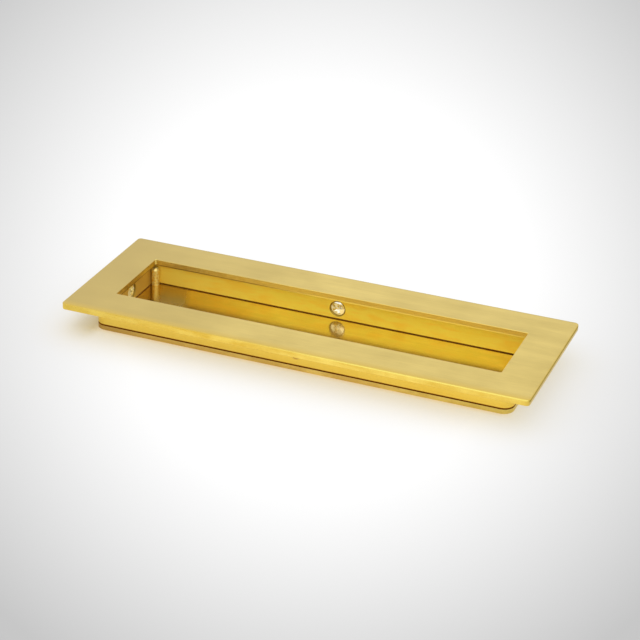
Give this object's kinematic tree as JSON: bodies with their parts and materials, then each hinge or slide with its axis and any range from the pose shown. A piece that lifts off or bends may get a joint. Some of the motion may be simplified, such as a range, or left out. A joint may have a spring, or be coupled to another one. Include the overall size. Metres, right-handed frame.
{
  "type": "pocket door flush pull",
  "caption": "Rectangular recessed brass flush pull: a flat face plate with a long finger opening over a walled recess, fixed by screws through the walls.",
  "frame": {"origin": "middle of the back plate's underside", "axes": "+X along the length, +Y across the face, +Z out of the door through the face plate"},
  "size_m": [0.175, 0.063, 0.0126],
  "materials": {
    "satin_brass": "fine brushed along the length, satin",
    "polished_brass": "polished",
    "plated_steel": "nickel plated, bright"
  },
  "bodies": {
    "root": {"face_plate": "satin_brass", "wall_frame": "polished_brass", "back_plate": "polished_brass", "corner_post_front_left": "polished_brass", "corner_post_front_right": "polished_brass", "corner_post_back_left": "polished_brass", "corner_post_back_right": "polished_brass", "fixing_screw_back": "plated_steel", "fixing_screw_left": "plated_steel"}
  },
  "joints": []
}
